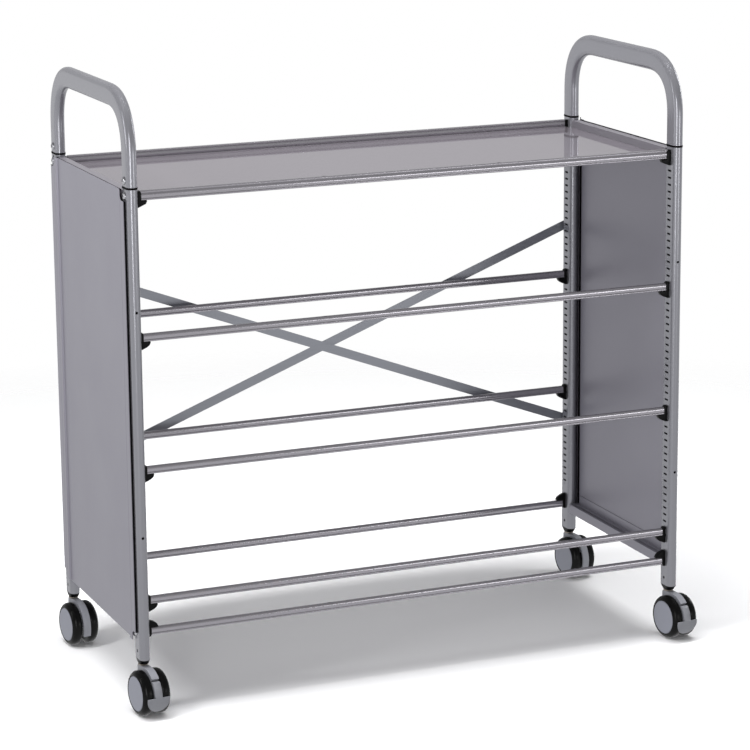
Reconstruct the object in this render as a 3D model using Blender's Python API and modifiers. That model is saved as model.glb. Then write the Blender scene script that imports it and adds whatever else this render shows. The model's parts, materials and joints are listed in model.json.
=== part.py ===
"""Book cart: tubular end frames, sheet side panels, adjustable shelf rails, a top tray and twin-wheel castors.

Metres, +Z up, +X along the cart's length, -Y its front. The floor is z = 0.
"""

from math import atan2, cos, hypot, pi, radians, sin

import bmesh
import bpy
from mathutils import Vector

# ---------------------------------------------------------------- driving dimensions

GAP = 0.0003                    # clearance between pieces that touch

POST_SPACING_X = 0.970          # between the left and right post axes
POST_SPACING_Y = 0.390          # between the front and rear post axes
POST_BASE_Z = 0.0865            # lower end of the posts above the floor
POST_LENGTH = 0.780
TUBE_WIDTH = 0.036              # flat-sided oval tube, along Y
TUBE_DEPTH = 0.018              # flat-sided oval tube, along X
TUBE_WALL = 0.0015
ARC_STEPS = 6                   # facets in each half-round of an oval

SLOT_COUNT = 54
SLOT_FIRST = 0.0419             # first slot below the top of the post
SLOT_PITCH = 0.01214
SLOT_WIDTH = 0.010
SLOT_HEIGHT = 0.003

HANDLE_RISE = 0.138             # middle of the grip above the posts
HANDLE_BEND = 0.078             # bend radius at the middle of the tube
HANDLE_BEND_STEPS = 8

RAIL_HEIGHT = 0.013
TOP_RAIL_HEIGHT = 0.016         # the two rails beside the tray are taller
RAIL_DEPTH = 0.009
RAIL_WALL = 0.0012

BRACKET_PLATE = 0.0055          # thickness of the plate against the post
BRACKET_DEPTH = 0.0094          # along Y
BRACKET_REACH = 0.012           # how far the gusset runs along the rail
BRACKET_TAIL = 0.0195           # how far the plate runs past the rail's centre
BRACKET_BULGE = 0.0022          # rounding of the gusset's sloping edge
HOOK_HEIGHT = 0.0022
HOOK_REACH = 0.0028
HOOK_LIFT = 0.0007              # middle of the two hooks above the rail's centre

CROSS_RAIL_WIDTH = 0.016        # along X
TOP_CROSS_RAIL = (0.0052, 0.027)        # top and bottom, below the top of the posts
BOTTOM_CROSS_RAIL = (0.728, 0.7445)
CROSS_RAIL_WALL = 0.0015

PANEL_SHEET = 0.0012
PANEL_BORDER = 0.0040            # outer face of the panel's upright borders, proud of the posts' faces
PANEL_FIELD = 0.0010            # outer face of the dished field between the borders
PANEL_BORDER_WIDTH = 0.0286
PANEL_STEP = 0.0015             # width of the sloping step between border and field
PANEL_CREASE = (0.0168, 0.0176, 0.0184)         # shallow crease in the border, from the panel's edge
PANEL_CREASE_DEPTH = 0.0006
PANEL_TOP = 0.0042              # below the top of the posts
PANEL_BOTTOM = 0.748
PANEL_EDGE = -0.0035            # panel edge from the post axis, towards the middle
PANEL_NOTCH = (0.0165, 0.0160)   # corner notches round the bolts, along Y and Z

TRAY_SURFACE = 0.0175           # top face of the tray below the top of the posts
TRAY_SHEET = 0.001
TRAY_RIB = (0.008, 0.060)       # depth of the ribs under the tray and their distance from its middle
TRAY_INSET = 0.0150             # tray end from the post axis, beside the posts
TRAY_TONGUE_INSET = 0.0086      # tray end from the post axis, along the cross rail

BRACE_WIDTH = 0.016
BRACE_SHEET = 0.0015
BRACE_UPPER = 0.203             # brace ends below the top of the posts
BRACE_LOWER = 0.571
BRACE_OVERLAP = 0.007           # strip end beyond the post axis

CAP_HEIGHT = 0.0052
CAP_TAPER = (0.86, 0.52)        # size of the cap's lower face against its upper one, X and Y

CASTOR_YAW = radians(6)
CASTOR_TRAIL = 0.0205           # axle ahead of the swivel axis, towards the front
WHEEL_RADIUS = 0.0375
WHEEL_INNER = 0.0073            # inner face from the middle of the castor
WHEEL_OUTER = 0.0245            # outer face from the middle of the castor
HUB_RADIUS = 0.030
AXLE_RADIUS = 0.004
STEM_RADIUS = 0.005
STEM_TOP = 0.112
HOUSING_WIDTH = 0.0125
HOUSING_TOP = 0.078             # above the floor
HOUSING_BACK = 0.009            # behind the swivel axis
HOOD_OUTER = 0.0405             # hood radius about the axle
HOOD_INNER = 0.031
HOOD_END_WITH_BRAKE = radians(47)
HOOD_END_PLAIN = radians(-22)

PEDAL_PIVOT = (0.033, radians(33))      # radius and angle about the axle
PEDAL_PIVOT_ROUND = 0.0074
PEDAL_OUTER = 0.0410
PEDAL_INNER = 0.0386
PEDAL_NECK_INNER = 0.028
PEDAL_NECK_WIDTH = 0.0122
PEDAL_FOOT_WIDTH = 0.0395
PEDAL_FOOT_TOP = radians(1)
PEDAL_FOOT_END = radians(-36)

# ---------------------------------------------------------------- derived places

POST_TOP_Z = POST_BASE_Z + POST_LENGTH
INNER_FACE = POST_SPACING_X / 2 - TUBE_DEPTH / 2
OUTER_FACE = POST_SPACING_X / 2 + TUBE_DEPTH / 2
HALF_Y = POST_SPACING_Y / 2
RAIL_END = INNER_FACE - BRACKET_PLATE - 2 * GAP


def hooked_at(index):
    """Depth below the posts' top of a rail whose bracket hooks into slot index and the next one."""
    return SLOT_FIRST + (index + 0.5) * SLOT_PITCH + HOOK_LIFT


# name: (side of the cart along Y, depth below the posts' top, bracket hooked in slots, gusset above)
RAILS = {
    "top_front": (-1, 0.0130, False, False),
    "top_rear": (1, 0.0130, False, False),
    "upper_front": (-1, hooked_at(16), True, False),
    "upper_rear": (1, hooked_at(20), True, False),
    "lower_front": (-1, hooked_at(34), True, False),
    "lower_rear": (1, hooked_at(38), True, False),
    "base_front_high": (-1, hooked_at(52), True, False),
    "base_front_low": (-1, 0.7330, False, True),
    "base_rear": (1, 0.7300, False, True),
}

SIDES = {"left": -1, "right": 1}
ENDS = {"front": -1, "rear": 1}


# ---------------------------------------------------------------- scene and materials

def clear_scene():
    for obj in list(bpy.data.objects):
        bpy.data.objects.remove(obj, do_unlink=True)


def new_collection(name):
    collection = bpy.data.collections.new(name)
    bpy.context.scene.collection.children.link(collection)
    return collection


def linear(level):
    """Linear value of an sRGB level between 0 and 255."""
    value = level / 255
    return value / 12.92 if value <= 0.04045 else ((value + 0.055) / 1.055) ** 2.4


# finish: (sRGB colour, roughness, metallic)
FINISHES = {
    "silver_tube": ((140, 140, 146), 0.32, 0.75),
    "silver_sheet": ((152, 151, 158), 0.38, 0.35),
    "silver_rail": ((164, 163, 168), 0.25, 0.85),
    "tray_sheet": ((160, 156, 162), 0.12, 0.55),
    "grey_plastic": ((134, 135, 142), 0.45, 0.0),
    "black_plastic": ((22, 22, 24), 0.50, 0.0),
    "black_tyre": ((26, 25, 24), 0.60, 0.0),
    "zinc_strip": ((158, 158, 160), 0.35, 0.85),
}


def add_material(obj, finish):
    colour, roughness, metallic = FINISHES[finish]
    material = bpy.data.materials.new(obj.name + "_" + finish)
    material.use_nodes = True
    shader = material.node_tree.nodes["Principled BSDF"]
    shader.inputs["Base Color"].default_value = (*[linear(level) for level in colour], 1)
    shader.inputs["Roughness"].default_value = roughness
    shader.inputs["Metallic"].default_value = metallic
    obj.data.materials.append(material)


# ---------------------------------------------------------------- shape helpers

def arc(centre, radius, start, end, steps):
    """Points on an arc of the plane, from angle start to angle end."""
    return [(centre[0] + radius * cos(start + (end - start) * k / steps),
             centre[1] + radius * sin(start + (end - start) * k / steps)) for k in range(steps + 1)]


def oval(length, width, steps=ARC_STEPS):
    """Outline of a flat-sided oval whose length lies along the second axis."""
    radius = width / 2
    reach = (length - width) / 2
    return arc((0, reach), radius, 0, pi, steps) + arc((0, -reach), radius, pi, 2 * pi, steps)


def rectangle(width, height):
    return [(-width / 2, -height / 2), (width / 2, -height / 2), (width / 2, height / 2), (-width / 2, height / 2)]


def curve_object(name, dimensions, outlines, cyclic=True):
    curve = bpy.data.curves.new(name, "CURVE")
    curve.dimensions = dimensions
    for outline in outlines:
        spline = curve.splines.new("POLY")
        spline.points.add(len(outline) - 1)
        for point, place in zip(spline.points, outline):
            point.co = (place[0], place[1], 0, 1)
        spline.use_cyclic_u = cyclic
    obj = bpy.data.objects.new(name, curve)
    CUTTERS.objects.link(obj)
    return obj


def mesh_of_curve(obj):
    """Closed mesh of a curve object, which is removed."""
    bpy.context.view_layer.update()
    evaluated = obj.evaluated_get(bpy.context.evaluated_depsgraph_get())
    mesh = bpy.data.meshes.new_from_object(evaluated)
    work = bmesh.new()
    work.from_mesh(mesh)
    bmesh.ops.remove_doubles(work, verts=work.verts, dist=0.00001)
    bmesh.ops.recalc_face_normals(work, faces=work.faces)
    work.to_mesh(mesh)
    work.free()
    bpy.data.objects.remove(obj, do_unlink=True)
    return mesh


def prism(name, outlines, thickness):
    """Flat outlines, the first one outside and the others holes, given a thickness about z = 0."""
    obj = curve_object(name, "2D", outlines)
    obj.data.fill_mode = "BOTH"
    obj.data.extrude = thickness / 2
    return mesh_of_curve(obj)


def box(size, centre=(0, 0, 0)):
    mesh = bpy.data.meshes.new("box")
    work = bmesh.new()
    bmesh.ops.create_cube(work, size=1)
    bmesh.ops.scale(work, vec=size, verts=work.verts)
    bmesh.ops.translate(work, vec=centre, verts=work.verts)
    work.to_mesh(mesh)
    work.free()
    return mesh


def cylinder(radius, length, segments=16):
    mesh = bpy.data.meshes.new("cylinder")
    work = bmesh.new()
    bmesh.ops.create_cone(work, cap_ends=True, segments=segments, radius1=radius, radius2=radius, depth=length)
    work.to_mesh(mesh)
    work.free()
    return mesh


def add_piece(name, mesh, finish, parent, location=(0, 0, 0), rotation=(0, 0, 0)):
    mesh.name = name
    obj = bpy.data.objects.new(name, mesh)
    PARTS.objects.link(obj)
    place(obj, parent, location, rotation)
    mesh.shade_smooth()
    mesh.set_sharp_from_angle(angle=radians(35))
    add_material(obj, finish)
    return obj


def place(obj, parent, location=(0, 0, 0), rotation=(0, 0, 0)):
    obj.parent = parent
    obj.location = location
    obj.rotation_euler = rotation


def add_empty(name, parent, location=(0, 0, 0), rotation=(0, 0, 0)):
    empty = bpy.data.objects.new(name, None)
    PARTS.objects.link(empty)
    place(empty, parent, location, rotation)
    return empty


def combine(target, mesh, operation, location=(0, 0, 0), rotation=(0, 0, 0)):
    """Boolean of a helper shape, placed in the target's own coordinates, with the target."""
    helper = bpy.data.objects.new(target.name + "_helper", mesh)
    CUTTERS.objects.link(helper)
    place(helper, target, location, rotation)
    helper.hide_render = True
    helper.display_type = "WIRE"
    modifier = target.modifiers.new(operation.lower(), "BOOLEAN")
    modifier.operation = operation
    modifier.object = helper


# ---------------------------------------------------------------- frame tubes

def build_posts(root):
    outlines = [oval(TUBE_WIDTH, TUBE_DEPTH), oval(TUBE_WIDTH - 2 * TUBE_WALL, TUBE_DEPTH - 2 * TUBE_WALL)]
    slots = bpy.data.meshes.new("slots")
    work = bmesh.new()
    for index in range(SLOT_COUNT):
        drop = POST_LENGTH / 2 - SLOT_FIRST - index * SLOT_PITCH
        made = bmesh.ops.create_cube(work, size=1)["verts"]
        bmesh.ops.scale(work, vec=(TUBE_WALL * 3, SLOT_WIDTH, SLOT_HEIGHT), verts=made)
        bmesh.ops.translate(work, vec=(TUBE_DEPTH / 2, 0, drop), verts=made)
    work.to_mesh(slots)
    work.free()
    for side, sx in SIDES.items():
        for end, sy in ENDS.items():
            mesh = prism("post", outlines, POST_LENGTH)
            turn = pi if sx > 0 else 0
            middle = (sx * POST_SPACING_X / 2, sy * HALF_Y, POST_BASE_Z + POST_LENGTH / 2)
            post = add_piece(f"post_{end}_{side}", mesh, "silver_tube", root, middle, (0, 0, turn))
            combine(post, slots, "DIFFERENCE")


def handle_path(overrun):
    """Middle line of a handle in (y, height above the posts), its ends run on downwards by overrun."""
    corner = HALF_Y - HANDLE_BEND
    height = HANDLE_RISE - HANDLE_BEND
    rear = arc((corner, height), HANDLE_BEND, 0, pi / 2, HANDLE_BEND_STEPS)
    front = arc((-corner, height), HANDLE_BEND, pi / 2, pi, HANDLE_BEND_STEPS)
    foot = GAP - overrun
    return [(HALF_Y, foot)] + rear + front + [(-HALF_Y, foot)]


def swept_tube(name, path, length, width):
    section = curve_object(name + "_section", "2D", [[(v, u) for u, v in oval(length, width)]])
    sweep = curve_object(name, "2D", [path], cyclic=False)
    sweep.data.fill_mode = "NONE"
    sweep.data.bevel_mode = "OBJECT"
    sweep.data.bevel_object = section
    sweep.data.use_fill_caps = True
    mesh = mesh_of_curve(sweep)
    bpy.data.objects.remove(section, do_unlink=True)
    return mesh


def build_handles(root):
    for side, sx in SIDES.items():
        outer = swept_tube("handle", handle_path(0), TUBE_WIDTH, TUBE_DEPTH)
        bore = swept_tube("bore", handle_path(0.002), TUBE_WIDTH - 2 * TUBE_WALL, TUBE_DEPTH - 2 * TUBE_WALL)
        handle = add_piece(f"handle_{side}", outer, "silver_tube", root,
                           (sx * POST_SPACING_X / 2, 0, POST_TOP_Z), (pi / 2, 0, pi / 2))
        combine(handle, bore, "DIFFERENCE")


def build_post_caps(root):
    for side, sx in SIDES.items():
        for end, sy in ENDS.items():
            mesh = prism("cap", [oval(TUBE_WIDTH - 0.001, TUBE_DEPTH - 0.001)], CAP_HEIGHT)
            for vertex in mesh.vertices:
                if vertex.co.z < 0:
                    vertex.co.x *= CAP_TAPER[0]
                    vertex.co.y *= CAP_TAPER[1]
            middle = (sx * POST_SPACING_X / 2, sy * HALF_Y, POST_BASE_Z - GAP - CAP_HEIGHT / 2)
            cap = add_piece(f"post_cap_{end}_{side}", mesh, "black_plastic", root, middle)
            combine(cap, cylinder(STEM_RADIUS + 0.0006, 2 * CAP_HEIGHT), "DIFFERENCE")


# ---------------------------------------------------------------- rails, brackets, braces

def build_rails(root):
    for name, (sy, depth, hooked, gusset_above) in RAILS.items():
        height = TOP_RAIL_HEIGHT if name.startswith("top") else RAIL_HEIGHT
        outlines = [oval(height, RAIL_DEPTH, 6), oval(height - 2 * RAIL_WALL, RAIL_DEPTH - 2 * RAIL_WALL, 6)]
        mesh = prism("rail", [[(-v, u) for u, v in outline] for outline in outlines], 2 * RAIL_END)
        add_piece(f"rail_{name}", mesh, "silver_rail", root,
                  (0, sy * HALF_Y, POST_TOP_Z - depth), (0, pi / 2, 0))


def bracket_outline(hooked, height):
    """Side view in (distance from the post's face, height above the centre of a rail of that height)."""
    rail_half = height / 2 + GAP
    plate = BRACKET_PLATE + GAP
    top = height / 2 + (-0.0007 if height == TOP_RAIL_HEIGHT else 0.0025)
    toe = (plate + BRACKET_REACH, -rail_half - 0.002)
    heel = (GAP + 0.003, -BRACKET_TAIL)
    bulge = [(toe[0] + (heel[0] - toe[0]) * k / 4,
              toe[1] + (heel[1] - toe[1]) * k / 4 - BRACKET_BULGE * sin(pi * k / 4)) for k in range(5)]
    outline = [(plate, top - 0.0045), (plate, -rail_half), (toe[0], -rail_half)] + bulge
    outline += [(GAP, -BRACKET_TAIL + 0.002)]
    if hooked:
        for level in (HOOK_LIFT - SLOT_PITCH / 2, HOOK_LIFT + SLOT_PITCH / 2):
            outline += [(GAP, level - HOOK_HEIGHT / 2), (-HOOK_REACH, level - HOOK_HEIGHT / 2),
                        (-HOOK_REACH, level + HOOK_HEIGHT / 2), (GAP, level + HOOK_HEIGHT / 2)]
    outline += [(GAP, top), (GAP + 0.002, top)]
    return outline


def build_brackets(root):
    for name, (sy, depth, hooked, gusset_above) in RAILS.items():
        for side, sx in SIDES.items():
            flip = -1 if gusset_above else 1
            height = TOP_RAIL_HEIGHT if name.startswith("top") else RAIL_HEIGHT
            outline = [(-sx * u, flip * v) for u, v in bracket_outline(hooked, height)]
            mesh = prism("bracket", [outline], BRACKET_DEPTH)
            add_piece(f"bracket_{name}_{side}", mesh, "black_plastic", root,
                      (sx * INNER_FACE, sy * HALF_Y, POST_TOP_Z - depth), (pi / 2, 0, 0))


def build_cross_rails(root):
    length = POST_SPACING_Y - TUBE_WIDTH - 2 * GAP
    for level, (top, bottom) in {"top": TOP_CROSS_RAIL, "bottom": BOTTOM_CROSS_RAIL}.items():
        height = bottom - top
        hollow = (CROSS_RAIL_WIDTH - 2 * CROSS_RAIL_WALL, height - 2 * CROSS_RAIL_WALL)
        for side, sx in SIDES.items():
            mesh = prism("cross_rail", [rectangle(CROSS_RAIL_WIDTH, height), rectangle(*hollow)], length)
            add_piece(f"cross_rail_{level}_{side}", mesh, "silver_sheet", root,
                      (sx * POST_SPACING_X / 2, 0, POST_TOP_Z - (top + bottom) / 2), (pi / 2, 0, 0))


def build_braces(root):
    rise = BRACE_LOWER - BRACE_UPPER
    span = hypot(POST_SPACING_X, rise)
    middle_z = POST_TOP_Z - (BRACE_UPPER + BRACE_LOWER) / 2
    behind = HALF_Y + TUBE_WIDTH / 2 + GAP
    strips = {"brace_falling": (0, atan2(rise, POST_SPACING_X)),
              "brace_rising": (1, -atan2(rise, POST_SPACING_X))}
    for name, (layer, slope) in strips.items():
        mesh = prism("brace", [oval(span + 2 * BRACE_OVERLAP, BRACE_WIDTH, 6)], BRACE_SHEET)
        y = behind + BRACE_SHEET / 2 + layer * (BRACE_SHEET + GAP)
        # the oval's length lies along its second axis: stood up, then leant over to the slope
        add_piece(name, mesh, "zinc_strip", root, (0, y, middle_z), (pi / 2, pi / 2 + slope, 0))


# ---------------------------------------------------------------- side panels and tray

def panel_section():
    """Level section of a panel in (y, distance outwards from the posts' outer faces)."""
    edge = HALF_Y - PANEL_EDGE
    step = edge - PANEL_BORDER_WIDTH
    near, deep, far = [edge - inset for inset in PANEL_CREASE]
    slant = hypot(PANEL_STEP, PANEL_BORDER - PANEL_FIELD)
    inner_shift = PANEL_SHEET * (slant - PANEL_STEP) / (PANEL_BORDER - PANEL_FIELD)
    outer = [(edge, PANEL_BORDER), (near, PANEL_BORDER), (deep, PANEL_BORDER - PANEL_CREASE_DEPTH),
             (far, PANEL_BORDER), (step, PANEL_BORDER), (step - PANEL_STEP, PANEL_FIELD)]
    inner = [(step - PANEL_STEP + inner_shift, PANEL_FIELD - PANEL_SHEET),
             (step + inner_shift, PANEL_BORDER - PANEL_SHEET), (edge, PANEL_BORDER - PANEL_SHEET)]
    return outer + [(-y, x) for y, x in reversed(outer)] + [(-y, x) for y, x in reversed(inner)] + inner


def notch_outline():
    """Notch at one corner of a panel, in (y, z) from the panel's middle, with its inner corner rounded."""
    half = HALF_Y - PANEL_EDGE
    middle = (PANEL_BOTTOM - PANEL_TOP) / 2
    wide, high = PANEL_NOTCH
    radius = 0.008
    outline = [(half + 0.003, middle + 0.003), (half + 0.003, middle - high)]
    outline += arc((half - wide + radius, middle - high + radius), radius, 1.5 * pi, pi, 4)
    return outline + [(half - wide, middle + 0.003)]


def build_side_panels(root):
    height = PANEL_BOTTOM - PANEL_TOP
    middle_z = POST_TOP_Z - (PANEL_TOP + PANEL_BOTTOM) / 2
    lip_height = height - 2 * PANEL_NOTCH[1] - 0.001
    for side, sx in SIDES.items():
        mesh = prism("panel", [panel_section()], height)
        for vertex in mesh.vertices:
            y, outwards, z = vertex.co
            vertex.co = (y, z, sx * outwards)
        if sx > 0:
            mesh.flip_normals()
        panel = add_piece(f"side_panel_{side}", mesh, "silver_sheet", root, (sx * OUTER_FACE, 0, middle_z),
                          (pi / 2, 0, pi / 2))
        for sy in (-1, 1):
            for sz in (-1, 1):
                notch = prism("notch", [[(sy * y, sz * z) for y, z in notch_outline()]], 0.020)
                combine(panel, notch, "DIFFERENCE")
            lip_start = PANEL_BORDER - PANEL_SHEET / 2
            lip = box((PANEL_SHEET, lip_height, lip_start - GAP))
            outwards = (lip_start + GAP) / 2
            combine(panel, lip, "UNION", (sy * (HALF_Y - PANEL_EDGE - PANEL_SHEET / 2 - 0.0002), 0, sx * outwards))


def build_tray(root):
    width = POST_SPACING_Y - RAIL_DEPTH - 2 * GAP
    length = POST_SPACING_X - 2 * TRAY_INSET
    mesh = box((length, width, TRAY_SHEET), (0, 0, -TRAY_SHEET / 2))
    tray = add_piece("shelf_tray", mesh, "tray_sheet", root, (0, 0, POST_TOP_Z - TRAY_SURFACE))
    tongue = (POST_SPACING_X - 2 * TRAY_TONGUE_INSET, POST_SPACING_Y - TUBE_WIDTH - 0.004, TRAY_SHEET)
    combine(tray, box(tongue), "UNION", (0, 0, -TRAY_SHEET / 2))
    drop, offset = TRAY_RIB
    for sy in (-1, 1):
        rib = box((length - 0.080, TRAY_SHEET, drop))
        combine(tray, rib, "UNION", (0, sy * offset, -drop / 2 - TRAY_SHEET / 2))


# ---------------------------------------------------------------- castors

def polar(radius, angle):
    """Point about the axle in (distance ahead of the swivel axis, height above the floor)."""
    return CASTOR_TRAIL + radius * cos(angle), WHEEL_RADIUS + radius * sin(angle)


def housing_outline(hood_end):
    """Side view of the housing between the wheels, in (ahead of the swivel axis, above the floor)."""
    axle = (CASTOR_TRAIL, WHEEL_RADIUS)
    start = pi / 2
    outline = [(-HOUSING_BACK, HOUSING_TOP - 0.014), (-HOUSING_BACK, HOUSING_TOP - 0.003),
               (-HOUSING_BACK + 0.003, HOUSING_TOP)]
    outline += arc(axle, HOOD_OUTER, start, hood_end, 14)
    inner_end = max(hood_end, HOOD_END_WITH_BRAKE)
    if hood_end < inner_end:
        outline += arc(axle, HOOD_OUTER - 0.0035, hood_end, inner_end, 8)
    outline += [polar(HOOD_INNER, inner_end)]
    outline += arc(axle, 0.011, radians(30), radians(-200), 10)
    return outline


def build_housing(name, parent, hood_end):
    outline = [(-ahead, up) for ahead, up in housing_outline(hood_end)]
    mesh = prism("housing", [outline], HOUSING_WIDTH)
    housing = add_piece(name, mesh, "grey_plastic", parent, (0, 0, 0), (pi / 2, 0, pi / 2))
    stem_length = STEM_TOP - HOUSING_TOP + 0.010
    stem_middle = (0, STEM_TOP - stem_length / 2, 0)
    combine(housing, cylinder(STEM_RADIUS, stem_length), "UNION", stem_middle, (pi / 2, 0, 0))
    axle_place = (-CASTOR_TRAIL, WHEEL_RADIUS, 0)
    combine(housing, cylinder(AXLE_RADIUS, 2 * WHEEL_OUTER - 0.001), "UNION", axle_place)


def wheel_profile():
    """Closed section in (radius, distance from the wheel's inner face), outer side from top to bottom."""
    width = WHEEL_OUTER - WHEEL_INNER
    bore = AXLE_RADIUS + 0.0004
    shoulder = arc((WHEEL_RADIUS - 0.0085, width - 0.0095), 0.0085, radians(80), 0, 3)
    return ([(bore, width), (HUB_RADIUS - 0.0006, width)] + shoulder
            + [(WHEEL_RADIUS, 0.0035), (WHEEL_RADIUS - 0.003, 0.0005), (WHEEL_RADIUS - 0.008, 0), (bore, 0)])


def build_wheel(name, parent, direction):
    """Wheel whose own +Z is the axle, pointing outwards from the castor's middle."""
    mesh = bpy.data.meshes.new(name)
    work = bmesh.new()
    points = [work.verts.new((radius, 0, z)) for radius, z in wheel_profile()]
    for start, end in zip(points, points[1:] + points[:1]):
        work.edges.new((start, end))
    work.to_mesh(mesh)
    work.free()
    rotation = (0, direction * pi / 2, 0)
    place_x = direction * WHEEL_INNER
    wheel = add_piece(name, mesh, "black_tyre", parent, (place_x, -CASTOR_TRAIL, WHEEL_RADIUS), rotation)
    screw = wheel.modifiers.new("turn", "SCREW")
    screw.steps = 24
    screw.render_steps = 24
    screw.use_merge_vertices = True
    screw.merge_threshold = 0.00001


def pedal_neck_outline():
    """Side view of the lever, in (ahead of the pivot, above the pivot)."""
    pivot = polar(*PEDAL_PIVOT)
    axle = (CASTOR_TRAIL, WHEEL_RADIUS)
    outer_start = PEDAL_PIVOT[1] - radians(12)
    outline = arc(pivot, PEDAL_PIVOT_ROUND, PEDAL_PIVOT[1] + radians(180), PEDAL_PIVOT[1] + radians(0), 8)
    outline += arc(axle, PEDAL_OUTER, outer_start, PEDAL_FOOT_END + radians(5), 10)
    outline += arc(axle, PEDAL_NECK_INNER, PEDAL_FOOT_END + radians(14), outer_start, 8)
    return [(ahead - pivot[0], up - pivot[1]) for ahead, up in outline]


def pedal_foot_outline():
    """Side view of the curved foot plate, in (ahead of the pivot, above the pivot)."""
    pivot = polar(*PEDAL_PIVOT)
    axle = (CASTOR_TRAIL, WHEEL_RADIUS)
    band = arc(axle, PEDAL_OUTER, PEDAL_FOOT_TOP, PEDAL_FOOT_END, 8)
    band += arc(axle, PEDAL_INNER, PEDAL_FOOT_END, PEDAL_FOOT_TOP, 8)
    return [(ahead - pivot[0], up - pivot[1]) for ahead, up in band]


def foot_front_outline():
    """Front view of the foot: straight upper edge, lower edge a shallow arc."""
    half = PEDAL_FOOT_WIDTH / 2
    top = WHEEL_RADIUS + PEDAL_OUTER * sin(PEDAL_FOOT_TOP) + 0.001
    side = top - 0.009
    bottom = WHEEL_RADIUS + PEDAL_OUTER * sin(PEDAL_FOOT_END)
    lower = [(half * cos(pi * k / 12), side - (side - bottom) * sin(pi * k / 12)) for k in range(13)]
    pivot_up = polar(*PEDAL_PIVOT)[1]
    return [(x, z - pivot_up) for x, z in [(-half, top), (half, top)] + lower]


def build_pedal(name, parent):
    ahead, up = polar(*PEDAL_PIVOT)
    pivot = add_empty(name + "_pivot", parent, (0, -ahead, up))
    foot = prism("foot", [[(-a, u) for a, u in pedal_foot_outline()]], PEDAL_FOOT_WIDTH + 0.002)
    pedal = add_piece(name, foot, "grey_plastic", pivot, (0, 0, 0), (pi / 2, 0, pi / 2))
    front = prism("front", [foot_front_outline()], 0.060)
    combine(pedal, front, "INTERSECT", (-0.010, 0, 0), (0, pi / 2, 0))
    neck = prism("neck", [[(-a, u) for a, u in pedal_neck_outline()]], PEDAL_NECK_WIDTH)
    combine(pedal, neck, "UNION")


def build_castors(root):
    for side, sx in SIDES.items():
        for end, sy in ENDS.items():
            place_xy = (sx * POST_SPACING_X / 2, sy * HALF_Y, 0)
            swivel = add_empty(f"swivel_{end}_{side}", root, place_xy, (0, 0, CASTOR_YAW))
            braked = end == "front"
            hood_end = HOOD_END_WITH_BRAKE if braked else HOOD_END_PLAIN
            build_housing(f"castor_housing_{end}_{side}", swivel, hood_end)
            build_wheel(f"wheel_outer_{end}_{side}", swivel, sx)
            build_wheel(f"wheel_inner_{end}_{side}", swivel, -sx)
            if braked:
                build_pedal(f"brake_pedal_{side}", swivel)


# ---------------------------------------------------------------- whole cart

def centre_over_origin(root):
    """Move the cart so that its outer box is centred over the origin, wheels on the floor."""
    bpy.context.view_layer.update()
    graph = bpy.context.evaluated_depsgraph_get()
    low = Vector((1e9, 1e9))
    high = Vector((-1e9, -1e9))
    for obj in PARTS.objects:
        if obj.type != "MESH":
            continue
        evaluated = obj.evaluated_get(graph)
        for vertex in evaluated.to_mesh().vertices:
            spot = obj.matrix_world @ vertex.co
            for axis in (0, 1):
                low[axis] = min(low[axis], spot[axis])
                high[axis] = max(high[axis], spot[axis])
        evaluated.to_mesh_clear()
    root.location = (-(low.x + high.x) / 2, -(low.y + high.y) / 2, 0)
    bpy.context.view_layer.update()


clear_scene()
PARTS = new_collection("book_cart")
CUTTERS = new_collection("book_cart_cutters")
CART = add_empty("cart", None)
build_posts(CART)
build_handles(CART)
build_post_caps(CART)
build_rails(CART)
build_brackets(CART)
build_cross_rails(CART)
build_braces(CART)
build_side_panels(CART)
build_tray(CART)
build_castors(CART)
centre_over_origin(CART)
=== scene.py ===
"""Looks of the book cart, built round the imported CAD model.

Metres; +Z is up, +X runs along the cart to its right end, and -Y is its front.
"""

import json
from math import cos, pi, radians, sin

import bmesh
import bpy
from mathutils import Matrix, Vector


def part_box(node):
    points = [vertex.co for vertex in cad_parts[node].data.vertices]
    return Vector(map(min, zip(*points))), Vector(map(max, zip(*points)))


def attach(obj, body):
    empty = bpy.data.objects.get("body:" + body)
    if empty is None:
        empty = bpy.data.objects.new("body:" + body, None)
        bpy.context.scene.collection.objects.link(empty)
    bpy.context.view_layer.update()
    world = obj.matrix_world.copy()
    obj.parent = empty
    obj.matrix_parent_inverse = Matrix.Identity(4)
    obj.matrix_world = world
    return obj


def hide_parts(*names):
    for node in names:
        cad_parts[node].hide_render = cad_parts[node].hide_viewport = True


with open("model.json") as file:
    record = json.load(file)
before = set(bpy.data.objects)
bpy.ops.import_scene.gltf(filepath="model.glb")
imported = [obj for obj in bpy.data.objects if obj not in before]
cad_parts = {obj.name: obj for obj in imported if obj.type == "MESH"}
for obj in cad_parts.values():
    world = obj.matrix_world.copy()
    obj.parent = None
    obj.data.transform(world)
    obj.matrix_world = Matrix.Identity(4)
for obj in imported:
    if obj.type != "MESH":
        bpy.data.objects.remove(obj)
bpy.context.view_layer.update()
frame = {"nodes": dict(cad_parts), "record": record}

# ---------------------------------------------------------------- places taken from the frame

SIDES = {"left": -1, "right": 1}
ENDS = {"front": -1, "rear": 1}


def middle(node):
    low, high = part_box(node)
    return (low + high) / 2


POSTS = {(end, side): middle(f"post_{end}_{side}") for end in ENDS for side in SIDES}
POST_LOW, POST_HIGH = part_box("post_front_left")
POST_TOP = POST_HIGH.z
POST_BOTTOM = POST_LOW.z
POST_LENGTH = POST_TOP - POST_BOTTOM
CENTRE = sum(POSTS.values(), Vector()) / 4
HALF_X = POSTS["front", "right"].x - CENTRE.x
HALF_Y = POSTS["rear", "left"].y - CENTRE.y
JOINTS = {joint["name"]: joint for joint in frame["record"]["behaviour"]["joints"]}

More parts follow.
